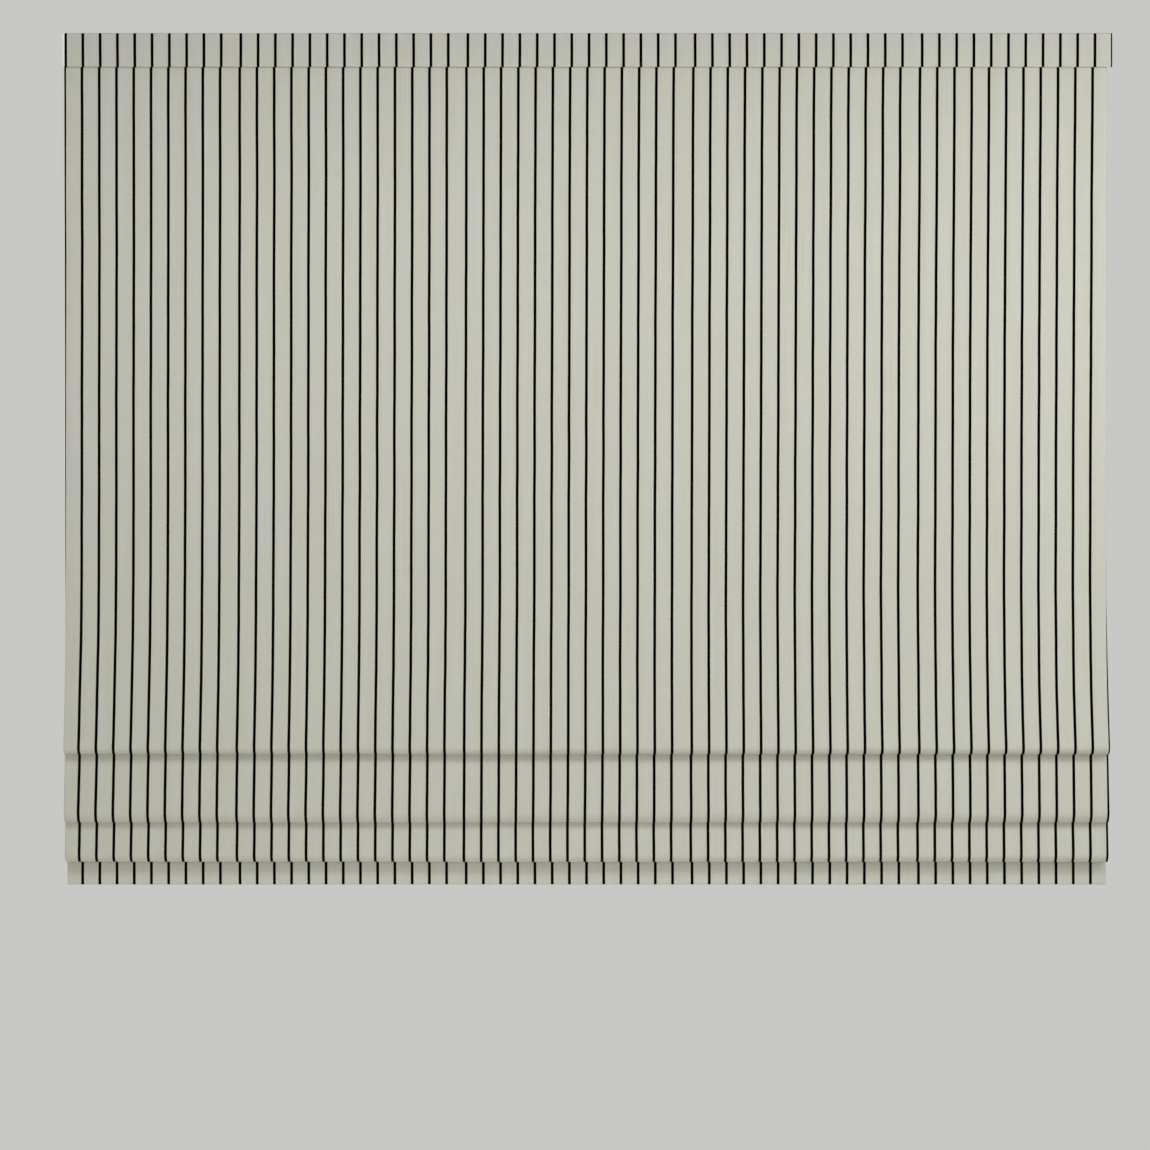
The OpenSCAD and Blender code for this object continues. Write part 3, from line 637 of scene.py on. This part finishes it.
def cloth_turns(front_y, slant):
    """All turns of the cloth as rows of (depth, height, radius, sense): +1 turns under a fold, -1 over a rod
    or at a knee. Each tier is a knee, a wide roll, the tight turn behind it and the turn over its rod. The
    roll's height makes the two turns of the fold touch, but for a small gap."""
    crests = rods[FLAT_RODS:] - np.array([0, ROD_TURN_R + POCKET_LIFT])
    edges = band_high.z - np.cumsum(EDGE_DROPS)
    turns = []
    for i, roll_r in enumerate(ROLL_RS):
        front = front_y + TIER_BACKS[i]
        roll_y = front + roll_r * (np.cos(slant) if i == 0 else 1)
        fold_y, fold_z = front + FOLD_DEPTH - FOLD_R, edges[i] + FOLD_R + FACE_T / 2
        roll_z = fold_z + np.sqrt((roll_r - FOLD_R + ROLL_GAP) ** 2 - (roll_y - fold_y) ** 2)
        if i > 0:
            turns.append((front + TIER_SWINGS[i] - KNEE_R, edges[i - 1], KNEE_R, -1))
        turns += [(roll_y, roll_z, roll_r, 1), (fold_y, fold_z, FOLD_R, 1), (*crests[i], ROD_TURN_R, -1)]
    turns.append((front_y + HEM_BACK + HEM_R, face_low.z + HEM_R + FACE_T / 2, HEM_R, 1))
    return np.array(turns)


def hem_rows(turn, enter):
    """The hem: half a turn under the bar, then straight up its back, in to the lining and along the seam."""
    up = enter + np.pi
    along = np.array([np.cos(up), np.sin(up)])
    flap = turn_point(turn, up)
    bend = flap + HEM_POCKET_H * along
    seam = bend + HEM_CLOSE * along + (2 * HEM_R - TURNED_MID) * left_of(up)
    end = seam + HEM_SEAM * along
    parts = [turn_rows(turn, enter, up)]
    for a, b in ((flap, bend), (bend, seam), (seam, end)):
        parts += [leg_rows(a, b, up), np.array([[*b, up]])]
    return np.concatenate(parts)


def section():
    """All rows, with the row where the turned sides end, the row where the lining ends, and the middle row of
    each turn but the last."""
    top_y = tape_low.y - SEW_GAP - LINING_BACK
    mid_y = top_y + LEAN
    slant = np.arctan(2 * SWEEP / SWEEP_H)
    turns = cloth_turns(mid_y - SWEEP, slant)
    end_z = turns[0, 1] + turns[0, 2] * np.sin(slant)
    rows = [panel_rows(top_y, mid_y, tape_low.z - LEAN_START, end_z + SWEEP_H, end_z)]
    enter = -np.pi / 2 - slant
    middles = []
    for i in range(len(turns) - 1):
        leave = leg_heading(turns[i], turns[i + 1])
        arc = turn_rows(turns[i], enter, leave)
        middles.append(sum(map(len, rows)) + len(arc) // 2)
        rows.append(arc)
        start, stop = turn_point(turns[i], leave), turn_point(turns[i + 1], leave)
        marks = [start, stop]
        if i == len(turns) - 2:
            back = (start - stop) / np.hypot(*(start - stop))
            sides_end = stop + back * (HEM_POCKET_H + HEM_CLOSE + HEM_SEAM + FLAP_GAP)
            lining_end = stop + back * (HEM_POCKET_H + HEM_CLOSE)
            marks = [start, sides_end, lining_end, stop]
        for k in range(len(marks) - 1):
            rows.append(leg_rows(marks[k], marks[k + 1], leave))
            if k + 1 < len(marks) - 1:
                rows.append(np.array([[*marks[k + 1], leave]]))
        enter = leave
    lining_row = sum(map(len, rows)) - len(rows[-1]) - 1
    side_row = lining_row - len(rows[-3]) - 1
    rows.append(hem_rows(turns[-1], enter))
    return np.concatenate(rows), side_row, lining_row, middles


rows, side_row, lining_row, middles = section()
run = np.concatenate([[0], np.cumsum(np.hypot(*np.diff(rows[:, :2], axis=0).T))])
flat_heights = np.concatenate([[tape_low.z], rods[:FLAT_RODS, 1]])
flat_runs = np.interp(-flat_heights, -rows[:middles[0], 1], run[:middles[0]])
held_runs = np.concatenate([flat_runs, run[middles[2::4]], run[-1:]])


def hang(across, along):
    """How far the cloth stands off its section, to the left of its heading: slow waves across the width that
    fade at the tape and at each rod, and are weaker in the stack."""
    bay = np.interp(along, held_runs, np.arange(len(held_runs)))
    fade = np.sin(np.pi * bay) ** 2 * np.where(bay < FLAT_RODS + 1, 1, HANG_IN_STACK)
    waves = sum(a * np.sin(2 * np.pi * (across / length + HANG_SLANT * along) + phase)
                for a, length, phase in HANG_WAVES)
    return fade * waves


def skew(along):
    """How far the whole cloth lies to the side at a length down it: a smooth step between two places."""
    step = np.clip((along - SKEW_FROM) / (SKEW_TO - SKEW_FROM), 0, 1)
    return SKEW_TOP + (SKEW_LOW - SKEW_TOP) * step ** 2 * (3 - 2 * step)


def drift(along):
    """How far the stripes have wandered sideways at a length down the cloth, straight between places."""
    return np.interp(along, DRIFT_RUNS, DRIFTS)


def carried(across, offset, first, last):
    """A profile of (across, offset) points carried along the section's rows. An offset lies to the left of
    the heading, and the hang is added to it. The skew moves each row to the side."""
    part = rows[first:last]
    away = offset[None, :] + hang(across[None, :], run[first:last, None])
    left = left_of(part[:, 2])
    y = part[:, None, 0] + away * left[:, None, 0]
    z = part[:, None, 1] + away * left[:, None, 1]
    x = across[None, :] + skew(run[first:last, None])
    return np.stack(np.broadcast_arrays(x, y, z), axis=-1)


def cut_grid(across, first, last):
    """Places on the cut cloth: across it, with the skew and less the pattern's drift, and along it."""
    along = run[first:last, None]
    return np.stack(np.broadcast_arrays(across[None, :] + skew(along) - drift(along), along), axis=-1)


def sheet_part(profile, thickness, first, last, **rims):
    """A closed sheet from a profile of (across, offset, across normal, offset normal, cut) columns."""
    across, offset, normal_x, normal_o, cut = profile
    half = thickness / 2
    outer = carried(across + half * normal_x, offset + half * normal_o, first, last)
    inner = carried(across - half * normal_x, offset - half * normal_o, first, last)
    return shell(outer, inner, cut_grid(cut, first, last), **rims)


def face_profile():
    """The face cloth across its width: flat in front, round at each side, and flat behind the lining."""
    radius = TURNED_MID / 2
    side = half_w - FACE_T / 2 - radius
    inner = half_w - SIDE_HEM_W
    flat = np.linspace(-side, side, FACE_COLUMNS)
    bend = np.linspace(-np.pi / 2, np.pi / 2, EDGE_STEPS)[1:]
    back = np.linspace(side, inner, TURNED_COLUMNS + 1)[1:]
    x = np.concatenate([flat, side + radius * np.cos(bend), back])
    turned = np.ones(TURNED_COLUMNS)
    o = np.concatenate([np.zeros(FACE_COLUMNS), radius + radius * np.sin(bend), TURNED_MID * turned])
    nx = np.concatenate([np.zeros(FACE_COLUMNS), np.cos(bend), 0 * turned])
    no = np.concatenate([-np.ones(FACE_COLUMNS), np.sin(bend), turned])
    cut = np.concatenate([flat, side + radius * (bend + np.pi / 2), side + np.pi * radius + side - back])
    mirror = (-1, 1, -1, 1, -1)
    return [np.concatenate([sign * column[FACE_COLUMNS:][::-1], column])
            for sign, column in zip(mirror, (x, o, nx, no, cut))]


def plain_profile(half, offset, columns):
    """A flat width of cloth at one offset."""
    x = np.linspace(-half, half, columns)
    return [x, np.full(columns, offset), np.zeros(columns), -np.ones(columns), x]


def make_face_cloth(material):
    """The striped cloth: one sheet with its sides turned back down to the hem, and the hem below them."""
    profile = face_profile()
    turned = (len(profile[0]) - FACE_COLUMNS) // 2
    flat = slice(turned, turned + FACE_COLUMNS)
    shared = np.zeros(len(profile[0]) - 1, bool)
    shared[turned:turned + FACE_COLUMNS - 1] = True
    upper = sheet_part(profile, FACE_T, 0, side_row + 1, open_bottom=shared)
    lower = sheet_part([column[flat] for column in profile], FACE_T, side_row, len(rows), open_top=True)
    piece = make_piece("face_cloth", joined([upper, lower]), material)
    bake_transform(piece)
    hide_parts("face_fabric")


def make_lining(material):
    """The lining: a plain sheet behind the face, inside its turned sides."""
    half = half_w - LINING_INSET
    part = sheet_part(plain_profile(half, LINING_MID, LINING_COLUMNS), LINING_T, 0, lining_row + 1)
    piece = make_piece("lining_cloth", part, material)
    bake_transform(piece)
    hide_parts("lining")


def make_rod_pocket(k, x, material):
    """A tube of lining cloth round one rod, which moves with it: a circle about the rod's middle line."""
    angle = np.linspace(-np.pi / 2, 1.5 * np.pi, POCKET_SIDES + 1)
    length = (angle - angle[0]) * (POCKET_R - POCKET_WALL / 2)
    skins = []
    for radius in (POCKET_R, POCKET_R - POCKET_WALL):
        y = rods[k, 0] + radius * np.cos(angle)
        z = rods[k, 1] + radius * np.sin(angle)
        skins.append(np.stack(np.broadcast_arrays(x, y[:, None], z[:, None]), axis=-1))
    cut = np.stack(np.meshgrid(length, x, indexing="ij")[::-1], axis=-1)
    piece = make_piece(f"rod_pocket_{k + 1}", shell(*skins, cut), material)
    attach(piece, f"rib_{k + 1}")


def make_pocket_tape(k, x, material, thread):
    """A tape on the back of the flat panel, under one rod's pocket. It follows the lining at a set distance
    and is sewn along both edges."""
    seats = flat_runs[k + 1] + np.linspace(-TAPE_H / 2, TAPE_H / 2, TAPE_ROWS)
    y, z, heading = (np.interp(seats, run, rows[:, i]) for i in range(3))
    left = left_of(heading)
    skins = []
    for away in (LINING_BACK + SEW_GAP, LINING_BACK + SEW_GAP + TAPE_T):
        skin_y, skin_z = y + away * left[:, 0], z + away * left[:, 1]
        skins.append(np.stack(np.broadcast_arrays(x, skin_y[:, None], skin_z[:, None]), axis=-1))
    cut = np.stack(np.meshgrid(seats, x, indexing="ij")[::-1], axis=-1)
    piece = make_piece(f"pocket_tape_{k + 1}", shell(*skins, cut), material)
    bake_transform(piece)
    places = np.arange(x[0] + STITCH_PITCH, x[-1] - STITCH_PITCH, STITCH_PITCH)
    sewn = []
    for row in (1, -2):
        at = np.stack(np.broadcast_arrays(places, *skins[1][row, 0, 1:]), axis=-1)
        along = np.broadcast_to([1.0, 0, 0], at.shape)
        out = np.broadcast_to([0, *left[row]], at.shape)
        sewn.append(stitches(at, along, out))
    piece = make_piece(f"pocket_stitches_{k + 1}", joined(sewn), thread)
    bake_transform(piece)


def make_pockets(material, thread):
    """A pocket round each rod and, on the flat panel, the tape that it lies on."""
    for k in range(len(rods)):
        half = rod_boxes[k][1].x + SEW_GAP
        x = np.linspace(-half, half, POCKET_COLUMNS)
        make_rod_pocket(k, x, material)
        if k < FLAT_RODS:
            make_pocket_tape(k, x, material, thread)


def make_hem_stitches(thread):
    """Stitches that hold the turned sides and the hem's flap, on the back of the cloth."""
    seats = np.arange(STITCH_PITCH, run[side_row] - STITCH_PITCH, STITCH_PITCH)
    y, z, heading = (np.interp(seats, run, rows[:, i]) for i in range(3))
    parts = []
    for side in (-1, 1):
        x = np.full(len(seats), side * (half_w - SIDE_HEM_W + SIDE_STITCH_IN))
        left = left_of(heading)
        away = TURNED_MID + FACE_T / 2 + hang(x, seats)
        at = np.column_stack([x + skew(seats), y + away * left[:, 0], z + away * left[:, 1]])
        along = np.column_stack([np.zeros(len(seats)), np.cos(heading), np.sin(heading)])
        out = np.column_stack([np.zeros(len(seats)), left])
        parts.append(stitches(at, along, out))
    seam = run[-1] - HEM_SEAM / 2
    heading = rows[-1, 2]
    x = np.arange(-half_w + SIDE_HEM_W / 2, half_w - SIDE_HEM_W / 2, STITCH_PITCH)
    right = -left_of(heading)
    away = FACE_T / 2 - hang(x, np.full(len(x), seam))
    y, z = (np.interp(seam, run, rows[:, i]) for i in range(2))
    at = np.column_stack([x + skew(seam), y + away * right[0], z + away * right[1]])
    along = np.broadcast_to(np.array([1.0, 0, 0]), at.shape)
    out = np.broadcast_to(np.array([0, *right]), at.shape)
    parts.append(stitches(at, along, out))
    piece = make_piece("hem_stitches", joined(parts), thread)
    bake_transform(piece)


def rounded_path(corners, radius, steps):
    """Rows of (depth, height, heading) along straight stretches between corners. Each inner corner is rounded
    to an arc."""
    corners = np.array(corners)
    ways = np.diff(corners, axis=0)
    headings = np.unwrap(np.arctan2(ways[:, 1], ways[:, 0]))
    parts = [np.array([[*corners[0], headings[0]]])]
    for i in range(1, len(corners) - 1):
        turn = headings[i] - headings[i - 1]
        sense = np.sign(turn)
        into = np.array([np.cos(headings[i - 1]), np.sin(headings[i - 1])])
        start = corners[i] - into * radius * np.tan(abs(turn) / 2)
        centre = start + sense * radius * left_of(headings[i - 1])
        heading = np.linspace(headings[i - 1], headings[i], steps)
        parts.append(np.column_stack([centre - sense * radius * left_of(heading), heading]))
    parts.append(np.array([[*corners[-1], headings[-1]]]))
    return np.concatenate(parts)


def spread(path, step):
    """A path's rows with more rows put evenly into its longer stretches."""
    length = np.concatenate([[0], np.cumsum(np.hypot(*np.diff(path[:, :2], axis=0).T))])
    even = np.linspace(0, length[-1], int(length[-1] / step) + 1)
    where = np.unique(np.concatenate([length, even]))
    return np.column_stack([np.interp(where, length, path[:, i]) for i in range(3)]), where


def make_band_cloth(material):
    """The band's cloth, wrapped round its board: down the back a little to the lower edge, up the front, over
    the top edge, and down the back a little. Its face is crowned by a cosine of the height, which slow waves
    along the band make uneven."""
    half_t = FACE_T / 2
    back, front = board_high.y + half_t, board_low.y - half_t
    top = band_high.z - half_t
    corners = [(back, BAND_RETURN - top), (back, -top), (front, -top),
               (front, top), (back, top), (back, top - BAND_RETURN)]
    path, length = spread(rounded_path(corners, BAND_CORNER_R, BAND_CORNER_ROWS), BAND_ROW_STEP)
    x = np.linspace(band_low.x, band_high.x, BAND_COLUMNS)
    left = left_of(path[:, 2])
    crown = BAND_CROWN * np.cos(np.pi * path[:, 1] / (2 * top)) * (path[:, 0] < (front + back) / 2)
    wave = 1 + sum(share * np.sin(2 * np.pi * x / span + phase) for share, span, phase in BAND_WAVES)
    skins = []
    for away in (half_t, -half_t):
        off = away + crown[:, None] * wave[None, :]
        y = path[:, None, 0] + off * left[:, None, 0]
        z = path[:, None, 1] + off * left[:, None, 1]
        skins.append(np.stack([np.broadcast_to(x, y.shape), y, z], axis=-1))
    cut = np.stack(np.meshgrid(length, x, indexing="ij")[::-1], axis=-1)
    piece = make_piece("band_cloth", shell(*skins, cut), material)
    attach(piece, "head")
    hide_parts("valance_fabric")


def make_cords(material):
    """Each lift cord in three pieces: its straight run through the rings, the turns on its spool, and the
    knot that holds it under its bead. The turns are a helix about the shaft. The knot is a trefoil, made of
    sines of one, two and three turns."""
    bead_low, bead_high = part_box("cord_beads")
    shaft_low, shaft_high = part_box("lift_shaft")
    y = (bead_low.y + bead_high.y) / 2
    shaft_y = (shaft_low.y + shaft_high.y) / 2
    winding_r = shaft_y - y
    knot_z = bead_low.z - KNOT_DROP
    z = np.linspace(0, knot_z, CORD_ROWS)
    angle = np.linspace(0, 2 * np.pi * SPOOL_TURNS, SPOOL_TURNS * COIL_SIDES + 1)
    winding = np.column_stack([np.zeros(len(angle)), -np.cos(angle), np.sin(angle)])
    shift = np.linspace(-SPOOL_WOUND / 2, SPOOL_WOUND / 2, len(angle))
    t = np.linspace(0, 2 * np.pi, KNOT_ROWS)
    trefoil = np.column_stack([
        np.sin(t) + 2 * np.sin(2 * t), np.cos(t) - 2 * np.cos(2 * t), -np.sin(3 * t)])
    for k in cord_numbers:
        low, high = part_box(f"cord_{k}")
        x = (low.x + high.x) / 2
        path = np.column_stack([np.full(len(z), x), np.full(len(z), y), z])
        outward = np.broadcast_to(np.array([0, -1.0, 0]), path.shape)
        cord = make_piece(f"lift_cord_{k}", tube(path, outward, CORD_R, CORD_SIDES), material)
        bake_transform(cord)
        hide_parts(f"cord_{k}")
        path = winding * winding_r + np.array([x, shaft_y, 0])
        path[:, 0] += shift
        wound = make_piece(f"wound_cord_{k}", tube(path, winding, CORD_R, CORD_SIDES), material)
        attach(wound, "lift_line")
        path = trefoil * KNOT_SCALE + np.array([x, y, knot_z])
        knot = make_piece(f"cord_knot_{k}", tube(path, trefoil, CORD_R, CORD_SIDES), material)
        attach(knot, "rib_6")


def dress_nodes(finishes):
    """Gives each carried-over node its finish."""
    for names, material in finishes:
        for name in names:
            data = nodes[name].data
            data.materials.clear()
            data.materials.append(material)


make_camera()
for lamp in LAMPS:
    make_lamp(*lamp)
make_world()
make_floor()
bpy.context.scene.view_settings.view_transform = "Standard"

face_finish = striped_cloth()
lining_finish = lining_cloth()
thread_finish = sewing_thread()
cord_finish = braided_cord()

make_cords(cord_finish)
make_face_cloth(face_finish)
make_lining(lining_finish)
make_pockets(lining_finish, thread_finish)
make_hem_stitches(thread_finish)
make_band_cloth(face_finish)

white_plastic = moulded("white_plastic", (0.76, 0.755, 0.735, 1), (0.83, 0.825, 0.81, 1), 0.42)
numbered = [f"{name}_{k}" for name in ("cradle", "spool") for k in cord_numbers]
numbered += [f"eyelets_{k}" for k in rod_numbers]
dress_nodes([
    (["rail_cap_left", "rail_cap_right", "valance_clips", "storage_drum", "output_drum", "cord_beads",
      "bar_cap_left", "bar_cap_right"] + numbered, white_plastic),
    (["valance_board"],
     moulded("white_board", (0.80, 0.80, 0.785, 1), (0.86, 0.86, 0.85, 1), 0.55, cells=1400, strength=0.2)),
    (["headrail"],
     moulded("rail_paint", (0.78, 0.78, 0.77, 1), (0.82, 0.82, 0.815, 1), 0.34, cells=1100, strength=0.15)),
    (["motor_housing", "motor_cover"],
     moulded("motor_plastic", (0.035, 0.035, 0.037, 1), (0.055, 0.055, 0.057, 1), 0.5)),
    (["hook_tape"], pile_tape("hook_tape", (0.62, 0.62, 0.60, 1), (0.84, 0.84, 0.82, 1), 700)),
    (["loop_tape"], pile_tape("loop_tape", (0.70, 0.70, 0.67, 1), (0.86, 0.86, 0.84, 1), 420)),
    (["bracket_left", "bracket_centre", "bracket_right"],
     drawn_metal("zinc_plate", (0.50, 0.51, 0.52, 1), (0.66, 0.67, 0.67, 1), 0.40, (25, 900, 25))),
    (["spring_band", "drum_pin", "lift_shaft"],
     drawn_metal("spring_steel", (0.42, 0.43, 0.45, 1), (0.58, 0.58, 0.60, 1), 0.30, (8, 1200, 1200))),
    (["bottom_bar"], moulded("bar_paint", (0.42, 0.42, 0.42, 1), (0.48, 0.48, 0.475, 1), 0.4)),
    ([f"rod_{k}" for k in rod_numbers], glass_fibre()),
])
